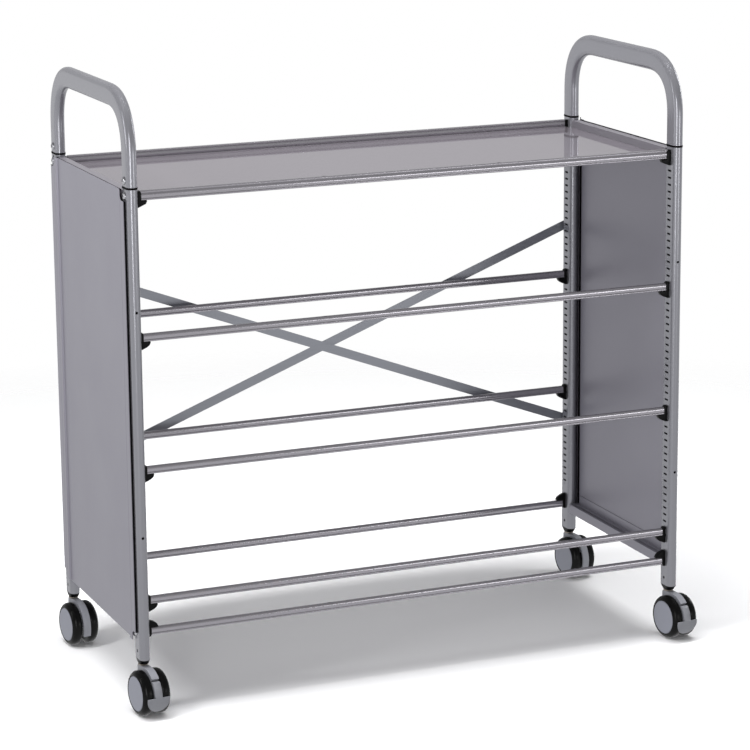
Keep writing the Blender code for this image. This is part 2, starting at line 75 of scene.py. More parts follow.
TUBE_WIDTH = 0.036                      # the oval tube's long side, along the cart's depth
TUBE_DEPTH = 0.018
TUBE_WALL = 0.0015
OUTER = HALF_X + TUBE_DEPTH / 2         # the posts' outer and inner faces, from the cart's middle
INNER = HALF_X - TUBE_DEPTH / 2

PIECES = bpy.data.collections.new("cart_pieces")
bpy.context.scene.collection.children.link(PIECES)
HELPERS = bpy.data.collections.new("cart_helpers")
bpy.context.scene.collection.children.link(HELPERS)


# ---------------------------------------------------------------- materials

def linear(level):
    value = level / 255
    return value / 12.92 if value <= 0.04045 else ((value + 0.055) / 1.055) ** 2.4


def rgba(colour, gain=1.0):
    return (*[min(1.0, linear(level) * gain) for level in colour], 1)


COAT_ROUGHNESS = 0.1
NOISE_SPAN = (0.3, 0.7)                 # the part of a noise's range that shows


class Shader:
    """A Principled material and small helpers that add procedural detail to it."""

    def __init__(self, name, colour, roughness, metallic=0.0, coat=0.0):
        self.material = bpy.data.materials.new(name)
        self.material.use_nodes = True
        self.tree = self.material.node_tree
        self.main = self.tree.nodes["Principled BSDF"]
        self.colour = colour
        self.main.inputs["Base Color"].default_value = rgba(colour)
        self.main.inputs["Roughness"].default_value = roughness
        self.main.inputs["Metallic"].default_value = metallic
        self.main.inputs["Coat Weight"].default_value = coat
        self.main.inputs["Coat Roughness"].default_value = COAT_ROUGHNESS
        self.place = self.tree.nodes.new("ShaderNodeTexCoord")

    def node(self, kind, **values):
        made = self.tree.nodes.new(kind)
        for key, value in values.items():
            setattr(made, key, value)
        return made

    def link(self, source, target):
        self.tree.links.new(source, target)

    def noise(self, scale, detail=3.0, roughness=0.55, stretch=(1, 1, 1)):
        mapping = self.node("ShaderNodeMapping")
        mapping.inputs["Scale"].default_value = stretch
        self.link(self.place.outputs["Object"], mapping.inputs["Vector"])
        made = self.node("ShaderNodeTexNoise")
        made.inputs["Scale"].default_value = scale
        made.inputs["Detail"].default_value = detail
        made.inputs["Roughness"].default_value = roughness
        self.link(mapping.outputs["Vector"], made.inputs["Vector"])
        return made.outputs["Fac"]

    def span(self, factor, low, high, start=NOISE_SPAN[0], end=NOISE_SPAN[1]):
        made = self.node("ShaderNodeMapRange")
        made.inputs["From Min"].default_value = start
        made.inputs["From Max"].default_value = end
        made.inputs["To Min"].default_value = low
        made.inputs["To Max"].default_value = high
        self.link(factor, made.inputs["Value"])
        return made.outputs["Result"]

    def vary_colour(self, factor, darker, lighter):
        ramp = self.node("ShaderNodeValToRGB")
        for element, position, gain in zip(ramp.color_ramp.elements, NOISE_SPAN, (darker, lighter)):
            element.position = position
            element.color = rgba(self.colour, gain)
        self.link(factor, ramp.inputs["Fac"])
        self.link(ramp.outputs["Color"], self.main.inputs["Base Color"])

    def vary_roughness(self, factor, low, high):
        self.link(self.span(factor, low, high), self.main.inputs["Roughness"])

    def bump(self, factor, strength, distance):
        made = self.node("ShaderNodeBump")
        made.inputs["Strength"].default_value = strength
        made.inputs["Distance"].default_value = distance
        self.link(factor, made.inputs["Height"])
        self.link(made.outputs["Normal"], self.main.inputs["Normal"])


def powder_coat(name, colour, roughness, metallic, spread=0.02, peel=0.00003, coat=0.0):
    """Silver powder coat: fine metallic flake in the colour, a faint orange peel in the surface."""
    shader = Shader(name, colour, roughness, metallic, coat)
    flake = shader.noise(2600, 2.0, 0.7)
    shader.vary_colour(flake, 1 - spread, 1 + spread)
    cloud = shader.noise(9, 3.0, 0.5)
    shader.vary_roughness(cloud, roughness * 0.93, roughness * 1.07)
    shader.bump(shader.noise(420, 2.0, 0.5), 0.25, peel)
    return shader.material


def moulded(name, colour, roughness, spread=0.06, specular=0.5):
    """Moulded plastic or rubber with a fine grain."""
    shader = Shader(name, colour, roughness)
    shader.main.inputs["Specular IOR Level"].default_value = specular
    shader.vary_colour(shader.noise(60, 3.0, 0.6), 1 - spread, 1 + spread)
    shader.vary_roughness(shader.noise(35, 2.0, 0.5), roughness * 0.9, roughness * 1.1)
    shader.bump(shader.noise(1500, 2.0, 0.6), 0.3, 0.00003)
    return shader.material


def drawn_metal(name, colour, roughness, stretch, spread=0.06, metallic=1.0, depth=0.00002):
    """Metal with fine lines along the direction it was drawn or rolled."""
    shader = Shader(name, colour, roughness, metallic)
    lines = shader.noise(900, 2.0, 0.6, stretch)
    shader.vary_colour(lines, 1 - spread, 1 + spread)
    shader.vary_roughness(lines, roughness * 0.88, roughness * 1.12)
    shader.bump(lines, 0.2, depth)
    return shader.material


TUBE_PAINT = powder_coat("tube_paint", (146, 146, 152), 0.25, 0.66)
SHEET_PAINT = powder_coat("sheet_paint", (136, 134, 144), 0.36, 0.30)
# darker paint for the top cross rails: painted shade, as the alike bottom cross rails take the lighter
# sheet paint
SHADED_CROSS_PAINT = powder_coat("cross_rail_shaded_paint", (132, 129, 136), 0.34, 0.40)
RAIL_PAINT = drawn_metal("rail_paint", (168, 165, 171), 0.19, (0.01, 1, 1), 0.02, 0.80, 0.000004)
TRAY_PAINT = powder_coat("tray_paint", (142, 136, 144), 0.05, 0.60, 0.01, 0.000004, 0.2)
BRACE_METAL = drawn_metal("brace_metal", (148, 150, 157), 0.34, (0.02, 1, 1), 0.04, 0.70)
SCREW_METAL = drawn_metal("screw_metal", (190, 190, 194), 0.22, (1, 1, 1), 0.05)
COLLAR_METAL = drawn_metal("collar_metal", (160, 152, 142), 0.30, (1, 1, 0.05), 0.05)
HOUSING_PLASTIC = moulded("housing_plastic", (138, 139, 146), 0.42)
PEDAL_PLASTIC = moulded("pedal_plastic", (130, 131, 137), 0.40)
HUB_PLASTIC = moulded("hub_plastic", (134, 136, 147), 0.40, 0.02)
BLACK_PLASTIC = moulded("black_plastic", (7, 7, 8), 0.36, 0.12, specular=0.12)
# black rubber for the gaskets, also used as painted shade on the slot liners and the gap strips
BLACK_RUBBER_AND_SHADE = moulded("black_rubber_and_shade", (5, 5, 6), 0.60, 0.12, specular=0.06)
TYRE_RUBBER = moulded("tyre_rubber", (8, 8, 8), 0.26, 0.12, specular=0.16)


# ---------------------------------------------------------------- shape helpers

MERGE_DISTANCE = 0.000005


def arc(centre, radius, start, end, steps):
    return [(centre[0] + radius * cos(start + (end - start) * k / steps),
             centre[1] + radius * sin(start + (end - start) * k / steps)) for k in range(steps + 1)]


def oval(length, width, steps=16):
    """Flat-sided oval whose length lies along the second axis."""
    radius = width / 2
    reach = (length - width) / 2
    return arc((0, reach), radius, 0, pi, steps) + arc((0, -reach), radius, pi, 2 * pi, steps)


def rectangle(low, high):
    return [(low[0], low[1]), (high[0], low[1]), (high[0], high[1]), (low[0], high[1])]


def curve_object(name, outlines, cyclic=True):
    """Helper curve in the xy plane, one straight-sided spline for each outline."""
    curve = bpy.data.curves.new(name, "CURVE")
    curve.dimensions = "2D"
    for outline in outlines:
        spline = curve.splines.new("POLY")
        spline.points.add(len(outline) - 1)
        for point, place in zip(spline.points, outline):
            point.co = (place[0], place[1], 0, 1)
        spline.use_cyclic_u = cyclic
    obj = bpy.data.objects.new(name, curve)
    HELPERS.objects.link(obj)
    return obj


def mesh_of(obj):
    """Mesh of a helper object with its modifiers; the object is removed."""
    bpy.context.view_layer.update()
    evaluated = obj.evaluated_get(bpy.context.evaluated_depsgraph_get())
    mesh = bpy.data.meshes.new_from_object(evaluated)
    bpy.data.objects.remove(obj, do_unlink=True)
    work = bmesh.new()
    work.from_mesh(mesh)
    bmesh.ops.remove_doubles(work, verts=work.verts, dist=MERGE_DISTANCE)
    bmesh.ops.recalc_face_normals(work, faces=work.faces)
    work.to_mesh(mesh)
    work.free()
    return mesh


def prism(outlines, thickness, round_edge=0.0):
    """Flat outlines, first outside then holes, given a thickness about z = 0 and softened edges."""
    obj = curve_object("prism", outlines)
    obj.data.fill_mode = "BOTH"
    obj.data.extrude = thickness / 2 - round_edge
    if round_edge:
        obj.data.bevel_depth = round_edge
        obj.data.bevel_resolution = 2
        obj.data.offset = -round_edge
    return mesh_of(obj)


def swept(path, outline):
    """Outline swept along an open path; the outline's first axis lies across it, in the path's plane."""
    section = curve_object("section", [outline])
    sweep = curve_object("sweep", [path], cyclic=False)
    sweep.data.fill_mode = "NONE"
    sweep.data.bevel_mode = "OBJECT"
    sweep.data.bevel_object = section
    sweep.data.use_fill_caps = True
    mesh = mesh_of(sweep)
    bpy.data.objects.remove(section, do_unlink=True)
    return mesh


def turned(profile, steps):
    """Solid of revolution about z from a closed profile of (radius, z)."""
    work = bmesh.new()
    points = [work.verts.new((radius, 0, z)) for radius, z in profile]
    edges = [work.edges.new((a, b)) for a, b in zip(points, points[1:] + points[:1])]
    bmesh.ops.spin(work, geom=points + edges, cent=(0, 0, 0), axis=(0, 0, 1), angle=2 * pi,
                   steps=steps, use_merge=True)
    bmesh.ops.remove_doubles(work, verts=work.verts, dist=MERGE_DISTANCE)
    bmesh.ops.dissolve_degenerate(work, edges=work.edges, dist=MERGE_DISTANCE)
    bmesh.ops.recalc_face_normals(work, faces=work.faces)
    mesh = bpy.data.meshes.new("turned")
    work.to_mesh(mesh)
    work.free()
    return mesh


def joined(parts):
    """One mesh from several (mesh, matrix) pairs."""
    work = bmesh.new()
    for mesh, matrix in parts:
        before = set(work.verts)
        work.from_mesh(mesh)
        bmesh.ops.transform(work, matrix=matrix, verts=[v for v in work.verts if v not in before])
    mesh = bpy.data.meshes.new("joined")
    work.to_mesh(mesh)
    work.free()
    return mesh


def boolean(mesh, cutter, operation="DIFFERENCE"):
    """Mesh after a Boolean with another mesh given in the same coordinates."""
    first = bpy.data.objects.new("first", mesh)
    second = bpy.data.objects.new("second", cutter)
    for obj in (first, second):
        HELPERS.objects.link(obj)
    modifier = first.modifiers.new("cut", "BOOLEAN")
    modifier.operation = operation
    modifier.object = second
    modifier.solver = "EXACT"
    made = mesh_of(first)
    bpy.data.objects.remove(second, do_unlink=True)
    return made


def soften_edges(obj, width, angle):
    modifier = obj.modifiers.new("soft_edge", "BEVEL")
    modifier.width = width
    modifier.segments = 2
    modifier.limit_method = "ANGLE"
    modifier.angle_limit = radians(angle)


def bevelled(mesh, width, angle):
    obj = bpy.data.objects.new("bevelled", mesh)
    HELPERS.objects.link(obj)
    soften_edges(obj, width, angle)
    return mesh_of(obj)


# a prism's outline axes (u, v) set along world (y, z), its thickness along x; or (x, z) and y
STAND_YZ = Matrix(((0, 0, 1, 0), (1, 0, 0, 0), (0, 1, 0, 0), (0, 0, 0, 1)))
STAND_XZ = Matrix(((1, 0, 0, 0), (0, 0, -1, 0), (0, 1, 0, 0), (0, 0, 0, 1)))


def add_piece(name, mesh, material, body, matrix, replaced=(), smooth_angle=38):
    """Visual piece with the given material, riding a body; it may stand for CAD nodes."""
    mesh.name = name
    mesh.materials.clear()
    mesh.materials.append(material)
    mesh.shade_smooth()
    mesh.set_sharp_from_angle(angle=radians(smooth_angle))
    obj = bpy.data.objects.new(name, mesh)
    PIECES.objects.link(obj)
    obj.matrix_world = matrix
    if replaced:
        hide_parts(*replaced)
    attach(obj, body)
    return obj


def dress_node(node, material, edge=0.0, smooth_angle=40):
    """Better material, softened edges and smooth shading for a CAD node that stays."""
    obj = frame["nodes"][node]
    for material_slot in obj.material_slots:
        material_slot.material = material
    if edge:
        soften_edges(obj, edge, smooth_angle)
        obj.data.shade_smooth()
        obj.data.set_sharp_from_angle(angle=radians(smooth_angle))


# ---------------------------------------------------------------- posts, handles and their small parts

SLOT_COUNT = 54
SLOT_FIRST = 0.0419                     # depths are counted down from the posts' top
SLOT_PITCH = 0.01214
SLOT_SIZE = (0.0122, 0.0034)
FRONT_HOLES = (0.198, 0.5697)           # depths of the holes in the front posts' round faces
FRONT_HOLE_RADIUS = 0.0023
CROSS_HOLE = 0.7640                     # depth of the hole across a post's lower end
CROSS_HOLE_RADIUS = 0.0027
SMALL_HOLES = (0.0842, 0.2525, 0.6918)  # depths of the locating holes between slots
SMALL_HOLE_RADIUS = 0.0011
CAP_RISE = 0.0026                       # the tube ends this far above the CAD post, the cap shows there
SHADE_LINER_WIDTH = 0.0132
SHADE_LINER_SPAN = (0.0330, 0.7700)           # depths of the painted-shade liner's ends


def disc(radius, steps):
    return arc((0, 0), radius, 0, 2 * pi * (steps - 1) / steps, steps - 1)


def post_cutters(front):
    """Slots and holes of a post, in coordinates with z = 0 at its top and its slots towards +X."""
    slot = prism([[(-u, v) for v, u in oval(SLOT_SIZE[0], SLOT_SIZE[1], 8)]], 0.008)
    parts = []
    for index in range(SLOT_COUNT):
        depth = SLOT_FIRST + index * SLOT_PITCH
        parts.append((slot, Matrix.Translation((TUBE_DEPTH / 2, 0, -depth)) @ STAND_YZ))
    drill = prism([disc(SMALL_HOLE_RADIUS, 12)], 0.008)
    for depth in SMALL_HOLES:
        parts.append((drill, Matrix.Translation((TUBE_DEPTH / 2, 0.0005, -depth)) @ STAND_YZ))
    across = prism([disc(CROSS_HOLE_RADIUS, 16)], 0.040)
    parts.append((across, Matrix.Translation((0, 0, -CROSS_HOLE)) @ STAND_YZ))
    if front:
        ahead = prism([disc(FRONT_HOLE_RADIUS, 16)], 0.010)
        for depth in FRONT_HOLES:
            parts.append((ahead, Matrix.Translation((0, -TUBE_WIDTH / 2, -depth)) @ STAND_XZ))
    return joined(parts)


def oval_normals(mesh):
    """True normals of the round-sided tube for the faces that lie on its walls, flat ones for the cuts."""
    reach = (TUBE_WIDTH - TUBE_DEPTH) / 2
    normals = []
    for polygon in mesh.polygons:
        for index in polygon.vertices:
            x, y = mesh.vertices[index].co.xy
            beyond = max(0.0, abs(y) - reach)
            across = Vector((x, beyond if y > 0 else -beyond, 0)).normalized()
            if across.dot(polygon.normal) < 0:
                across = -across
            normals.append(across if across.dot(polygon.normal) > 0.93 else polygon.normal.copy())
    mesh.normals_split_custom_set([tuple(normal) for normal in normals])


def build_posts():
    bore = oval(TUBE_WIDTH - 2 * TUBE_WALL, TUBE_DEPTH - 2 * TUBE_WALL, 12)
    tube = [oval(TUBE_WIDTH, TUBE_DEPTH, 24), bore]
    length = POST_LENGTH - CAP_RISE
    for end in ENDS:
        mesh = prism(tube, length)
        mesh.transform(Matrix.Translation((0, 0, -length / 2)))
        cut = boolean(mesh, post_cutters(end == "front"))
        for side, sx in SIDES.items():
            place = POSTS[end, side]
            made = cut.copy()
            if sx > 0:
                made.transform(Matrix.Scale(-1, 4, (1, 0, 0)))
                made.flip_normals()
            add_piece(f"post_tube_{end}_{side}", made, TUBE_PAINT, "frame",
                      Matrix.Translation((place.x, place.y, POST_TOP)), [f"post_{end}_{side}"], 30)
            oval_normals(made)


def build_slot_shade_liners():
    """Dark strip inside each post behind its slots, painted shade, so that they read as openings into a
    dark tube.
    """
    inner_wall = TUBE_DEPTH / 2 - TUBE_WALL
    strip = prism([rectangle((-SHADE_LINER_WIDTH / 2, -SHADE_LINER_SPAN[1]), (SHADE_LINER_WIDTH / 2, -SHADE_LINER_SPAN[0]))],
                  0.0006)
    for (end, side), place in POSTS.items():
        shift = -SIDES[side] * (inner_wall - 0.0008)
        add_piece(f"slot_shade_liner_{end}_{side}", strip.copy(), BLACK_RUBBER_AND_SHADE, "frame",
                  Matrix.Translation((place.x + shift, place.y, POST_TOP)) @ STAND_YZ)


CAP_TAPER = (0.84, 0.60)                # of a cap's lower end, across and along the oval


def build_caps():
    """Black plugs that close the posts' lower ends and taper down round the castor stems."""
    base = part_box("post_cap_front_left")[0].z
    height = POST_BOTTOM + CAP_RISE - base
    plug = prism([oval(TUBE_WIDTH - 0.0004, TUBE_DEPTH - 0.0004)], height, 0.0005)
    for vertex in plug.vertices:
        if vertex.co.z < 0:
            vertex.co.x *= CAP_TAPER[0]
            vertex.co.y *= CAP_TAPER[1]
    for (end, side), place in POSTS.items():
        add_piece(f"cap_{end}_{side}", plug.copy(), BLACK_PLASTIC, "frame",
                  Matrix.Translation((place.x, place.y, base + height / 2)),
                  [f"post_cap_{end}_{side}"], 30)


HANDLE_BEND = 0.092                     # reach of a bend from its corner
BEND_POWER = 2.43                       # a little fuller than a circle, so that the curve starts softly


def build_handles():
    for side in SIDES:
        low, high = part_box(f"handle_{side}")
        half = (high.y - low.y - TUBE_WIDTH) / 2
        rise = high.z - TUBE_WIDTH / 2 - POST_TOP
        foot = low.z - POST_TOP
        bend = []
        for k in range(37):
            along = pi / 2 * k / 36
            bend.append((half - HANDLE_BEND * (1 - max(0.0, cos(along)) ** (2 / BEND_POWER)),
                         rise - HANDLE_BEND * (1 - sin(along) ** (2 / BEND_POWER))))
        path = [(half, foot)] + bend + [(-y, z) for y, z in reversed(bend)] + [(-half, foot)]
        mesh = swept(path, [(v, u) for u, v in oval(TUBE_WIDTH, TUBE_DEPTH, 20)])
        add_piece(f"handle_bar_{side}", mesh, TUBE_PAINT, "frame",
                  Matrix.Translation((POSTS["front", side].x, CENTRE.y, POST_TOP)) @ STAND_YZ,
                  [f"handle_{side}"], 40)


RING_HEIGHT = 0.0032
RING_CENTRE = 0.0008                    # above the posts' top
RING_GROWTH = (0.00005, 0.0011)         # inner and outer oval against the tube's


def build_joint_rings():
    """Black gaskets that show as a line where a handle stands on a post."""
    inner, outer = [oval(TUBE_WIDTH + growth, TUBE_DEPTH + growth) for growth in RING_GROWTH]
    for (end, side), place in POSTS.items():
        mesh = prism([outer, inner], RING_HEIGHT)
        add_piece(f"joint_ring_{end}_{side}", mesh, BLACK_RUBBER_AND_SHADE, "frame",
                  Matrix.Translation((place.x, place.y, POST_TOP + RING_CENTRE)))


SCREW_RADIUS = 0.0062
SCREW_HEIGHT = 0.0030
SCREW_PLACES = ((-0.0125, 0.0), (0.0120, 0.0), (0.7325, 0.0035))    # depth, shift to the cart's middle


def screw_mesh():
    """Button-head screw with a hexagon socket, its head along +z."""
    dome = [(SCREW_RADIUS * cos(t), SCREW_HEIGHT * sin(t)) for t in [pi / 2 * k / 8 for k in range(9)]]
    dome[-1] = (0, SCREW_HEIGHT)
    head = turned([(0, -0.0004), (SCREW_RADIUS, -0.0004)] + dome, 28)
    socket = prism([disc(SCREW_RADIUS * 0.40, 6)], 0.004)
    socket.transform(Matrix.Translation((0, 0, SCREW_HEIGHT)))
    return boolean(head, socket)


def build_screws():
    screw = screw_mesh()
    for (end, side), post in POSTS.items():
        sx = SIDES[side]
        for index, (depth, shift) in enumerate(SCREW_PLACES):
            place = Vector((post.x + sx * (TUBE_DEPTH / 2 + 0.0005), post.y - ENDS[end] * shift,
                            POST_TOP - depth))
            add_piece(f"screw_{end}_{side}_{index}", screw.copy(), SCREW_METAL, "frame",
                      Matrix.Translation(place) @ Matrix.Rotation(sx * pi / 2, 4, "Y"))


# ---------------------------------------------------------------- rails and brackets

RAIL_DEPTH = 0.009
TALL_RAIL = 0.015                       # rails higher than this have a bead above the bulge too
BEAD_RADIUS = 0.0020
BULGE_DEPTH = 0.0030
# a bulge's centre height, half height, first and last angle in degrees, and steps
TALL_BULGE = (-0.0004, 0.0050, -42, 42, 10)
LOW_BULGE = (0.0010, 0.0055, -37, 90, 14)
RAIL_HOLE = (0.0064, 0.0030)
RAIL_NAMES = {"top_front": False, "top_rear": False, "upper_front": False, "upper_rear": False,
              "lower_front": False, "lower_rear": False, "base_front_high": False,
              "base_front_low": True, "base_rear": True}        # name: is the gusset above the rail


def rail_outline(height):
    """Section of a rail in (y, z): a round bulge above a bead, with a second bead on top of tall ones."""
    half = RAIL_DEPTH / 2
    bottom, top = -height / 2, height / 2
    right = arc((half - 0.0019, bottom + BEAD_RADIUS), BEAD_RADIUS, -pi / 2, radians(55), 7)
    right += [(half - 0.00085, bottom + 0.0039)]
    tall = height > TALL_RAIL
    centre, rise, start, end, steps = TALL_BULGE if tall else LOW_BULGE
    for k in range(steps + 1):
        angle = radians(start + (end - start) * k / steps)
        right.append((half - BULGE_DEPTH * (1 - cos(angle)), centre + rise * sin(angle)))
    if tall:
        right += [(half - 0.0010, top - 0.0044)]
        right += arc((half - 0.0024, top - BEAD_RADIUS), BEAD_RADIUS, radians(-50), pi / 2, 7)
    return right + [(-x, z) for x, z in reversed(right)]


def build_rails():
    for name in RAIL_NAMES:
        low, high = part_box(f"rail_{name}")
        height = high.z - low.z
        length = high.x - low.x
        mesh = prism([rail_outline(height), oval(height * 0.66, RAIL_DEPTH * 0.42, 6)], length)
        mesh.transform(STAND_YZ)
        hole = prism([[(v, u) for u, v in oval(*RAIL_HOLE, 8)]], 0.006)
        cutter = joined([(hole, Matrix.Translation((x, 0, height / 2))) for x in (-length / 6, length / 6)])
        add_piece(f"rail_bar_{name}", boolean(mesh, cutter), RAIL_PAINT, "frame",
                  Matrix.Translation((low + high) / 2), [f"rail_{name}"], 42)


def bracket_outline(plate, toe, tail, half, top):
    """Side view in (distance from the post's face, height above the rail's centre).

    plate is the plate's thickness, toe the gusset's reach, tail and top the lower and upper ends,
    half the half height of the rail that lies on the gusset.
    """
    heel = [(0.0003, -tail + 0.0012), (0.0014, -tail), (0.0026, -tail + 0.0002)]
    gusset = [(toe - 0.0066, -tail + 0.0038), (toe - 0.0022, -half - 0.0056),
              (toe - 0.0002, -half - 0.0016), (toe, -half - 0.0002), (plate, -half)]
    shoulder = [(plate, top - 0.0034), (plate - 0.0010, top - 0.0010), (plate - 0.0030, top), (0.0003, top)]
    return heel + gusset + shoulder


SOCKET_DEPTH = 0.0026                   # extra thickness of the plates that take the front top rail's ends


def build_brackets():
    for name, above in RAIL_NAMES.items():
        rail_low, rail_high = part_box(f"rail_{name}")
        half = (rail_high.z - rail_low.z) / 2 + 0.0003
        rail_z = (rail_low.z + rail_high.z) / 2
        for side, sx in SIDES.items():
            low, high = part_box(f"bracket_{name}_{side}")
            face = CENTRE.x + sx * INNER
            toe = abs((low.x if sx > 0 else high.x) - face)
            below, over = abs(low.z - rail_z), abs(high.z - rail_z)
            tail, top = max(below, over), min(below, over)
            plate = abs((rail_high.x if sx > 0 else rail_low.x) - face) - 0.0003
            flip = -1 if above else 1
            thickness = high.y - low.y
            if name == "top_front":         # the front top rail ends in deeper sockets
                plate += SOCKET_DEPTH
                thickness = max(thickness, rail_high.y - rail_low.y + 0.0010)
            outline = [(-sx * u, flip * v) for u, v in bracket_outline(plate, toe, tail, half, top)]
            mesh = prism([outline], thickness, 0.0009)
            add_piece(f"bracket_arm_{name}_{side}", mesh, BLACK_PLASTIC, "frame",
                      Matrix.Translation((face, (low.y + high.y) / 2, rail_z)) @ STAND_XZ,
                      [f"bracket_{name}_{side}"])


# ---------------------------------------------------------------- side panels and seals

PANEL_NOTCH = (0.0165, 0.0160)          # corner notch round the bolts, along y and z
NOTCH_ROUND = 0.008
NOTCH_STRIP = (0.0002, 0.0011)           # offsets of the notch strip's two edges
EDGE_STRIP = (0.0002, 0.0012)            # distances of the upright strip's sides from the panel's edge
INNER_GAP_SHADE = (0.0184, 0.0204)           # the inner painted-shade strip's sides, from the posts' middle
INNER_GAP_SHADE_SPAN = (0.0280, 0.7270)      # depths of its ends


def notch_line(edge, top, offset):
    """Line round a panel's upper notch, in (y, depth)."""
    wide, high = PANEL_NOTCH
    centre = edge - wide + NOTCH_ROUND
    radius = NOTCH_ROUND - offset
    upper = [(edge - wide + offset, top - 0.0030)]
    upper += [(centre - radius * cos(t), top + high - NOTCH_ROUND + radius * sin(t)) for t in
              [pi / 2 * k / 8 for k in range(9)]]
    return upper + [(edge + offset, top + high - offset)]


def build_edge_trims_and_gap_shade():
    """Black strips along the panels' upright edges and notches, an edge trim that is also painted shade of
    the gap behind it, and inside between panel and post, painted shade of the gap there.
    """
    for side, sx in SIDES.items():
        low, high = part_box(f"side_panel_{side}")
        edge = (high.y - low.y) / 2
        top, bottom = POST_TOP - high.z, POST_TOP - low.z
        for end, sy in ENDS.items():
            near, far = [notch_line(edge, top, offset) for offset in NOTCH_STRIP]
            notch = prism([[(sy * y, -depth) for y, depth in near + far[::-1]]], 0.0012)
            upright = prism([rectangle((sy * (edge + EDGE_STRIP[0]), -(bottom - PANEL_NOTCH[1])),
                                       (sy * (edge + EDGE_STRIP[1]), -(top + PANEL_NOTCH[1] - 0.0001)))],
                            0.0026)
            mesh = joined([(notch, Matrix.Translation((0, 0, sx * 0.0013))),
                           (upright, Matrix.Translation((0, 0, -sx * 0.0004)))])
            add_piece(f"trim_and_shade_outer_{end}_{side}", mesh, BLACK_RUBBER_AND_SHADE, "frame",
                      Matrix.Translation((CENTRE.x + sx * (OUTER + 0.0021), CENTRE.y, POST_TOP)) @ STAND_YZ)
            # inner strip: painted shade of the gap between panel and post
            strip = rectangle((sy * (HALF_Y - INNER_GAP_SHADE[1]), -INNER_GAP_SHADE_SPAN[1]),
                              (sy * (HALF_Y - INNER_GAP_SHADE[0]), -INNER_GAP_SHADE_SPAN[0]))
            mesh = prism([strip], 0.0034, 0.0005)
            add_piece(f"gap_shade_inner_{end}_{side}", mesh, BLACK_RUBBER_AND_SHADE, "frame",
                      Matrix.Translation((CENTRE.x + sx * (OUTER + 0.0010), CENTRE.y, POST_TOP)) @ STAND_YZ)


def build_gap_shade_strips():
    """Black strip between each panel's top edge and the cross rail beside it: painted shade of the gap
    there.
    """
    for side, sx in SIDES.items():
        low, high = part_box(f"cross_rail_top_{side}")
        seam = prism([rectangle((-0.0007, 0.0001), (0.0003, 0.0013))], high.y - low.y - 0.002)
        add_piece(f"panel_gap_shade_{side}", seam, BLACK_RUBBER_AND_SHADE, "frame",
                  Matrix.Translation((CENTRE.x + sx * (OUTER - 0.0009), CENTRE.y, high.z)) @ STAND_XZ)


LEDGE_DEPTH = 0.0095
LEDGE_HEIGHT = 0.0170
LEDGE_MARGIN = 0.0285                   # between a ledge's end and a post's middle


def build_panel_ledges():
    """Folded strip and ledge inside each panel, just above the bottom cross rail."""
    panel_in = OUTER - 0.0003
    profile = [(0, 0), (-LEDGE_DEPTH, 0), (-LEDGE_DEPTH, 0.0011), (-0.0012, 0.0011),
               (-0.0012, LEDGE_HEIGHT - 0.0005), (0, LEDGE_HEIGHT)]
    for side, sx in SIDES.items():
        rail_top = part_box(f"cross_rail_bottom_{side}")[1].z
        mesh = prism([[(sx * (panel_in + u), v) for u, v in profile]], 2 * (HALF_Y - LEDGE_MARGIN))
        add_piece(f"panel_ledge_{side}", mesh, SHEET_PAINT, "frame",
                  Matrix.Translation((CENTRE.x, CENTRE.y, rail_top + 0.0010)) @ STAND_XZ)


# ---------------------------------------------------------------- castors

WHEEL_RADIUS = 0.0375
WHEEL_WIDTH = 0.0172
HUB_RADIUS = 0.0300
HUB_FLOOR = 0.0104                      # where the hub's cover begins, along the axle
BORE = 0.0044                           # radius of a wheel's bore
COLLAR_HEIGHT = 0.0026
COLLAR_BASE = 0.0782                    # above the floor
COLLAR_RADII = (0.0052, 0.0078, 0.0084)  # of its bore, its two ends and its middle


def build_wheel(name, direction):
    """Tyre and hub of one wheel; its own +z is the axle, pointing out from the castor."""
    joint = JOINTS[name.replace("wheel", "roll")]
    radius, width, hub = WHEEL_RADIUS, WHEEL_WIDTH, HUB_RADIUS
    outward = Vector(joint["axis"]) * direction
    facing = outward.to_track_quat("Z", "Y").to_matrix().to_4x4()
    place = Matrix.Translation(joint["pos_m"]) @ facing
    shoulder = [(hub - 0.0008, width - 0.0006), (hub + 0.0004, width - 0.0001)]
    shoulder += [(radius - 0.0085 + 0.0085 * cos(t), width - 0.0095 + 0.0092 * sin(t)) for t in
                 [radians(82 - 82 * k / 8) for k in range(9)]]
    tread = [(radius, 0.0040), (radius - 0.0006, 0.0018), (radius - 0.0024, 0.0004), (radius - 0.0060, 0)]
    inside = [(radius - 0.0075, 0.0012), (0.0130, 0.0012), (0.0115, 0), (BORE, 0), (BORE, 0.0100),
              (hub - 0.0012, 0.0100), (hub - 0.0008, 0.0110)]
    tyre = turned(shoulder + tread + inside, 64)
    add_piece(name.replace("wheel", "tyre"), tyre, TYRE_RUBBER, name, place, [name])
    cover = [(0, HUB_FLOOR), (hub - 0.0012, HUB_FLOOR), (hub - 0.0010, width - 0.0012),
             (hub - 0.0014, width - 0.0005), (hub - 0.0022, width - 0.0002),
             (hub - 0.0040, width - 0.0002), (0.0060, width), (0, width + 0.0001)]
    add_piece(name.replace("wheel", "hub_cover"), turned(cover, 56), HUB_PLASTIC, name,
              place)


def build_castors():
    """Wheels, and the bright collar that shows between each housing and its post's cap."""
    bore, rim, belly = COLLAR_RADII
    outline = [(bore, 0), (rim, 0), (belly, 0.0006), (belly, COLLAR_HEIGHT - 0.0006), (rim, COLLAR_HEIGHT),
               (bore, COLLAR_HEIGHT)]
    for (end, side), post in POSTS.items():
        tag = f"{end}_{side}"
        build_wheel(f"wheel_outer_{tag}", SIDES[side])
        build_wheel(f"wheel_inner_{tag}", -SIDES[side])
        add_piece(f"swivel_collar_{tag}", turned(outline, 32), COLLAR_METAL, f"castor_{tag}",
                  Matrix.Translation((post.x, post.y, COLLAR_BASE)))


FOOT_HALF = 0.0198                      # half width of a pedal's foot
FOOT_DROP = 0.0236                      # height of its round lower edge
TIP_HEIGHT = 0.0262                     # of the foot's tips above its lowest point


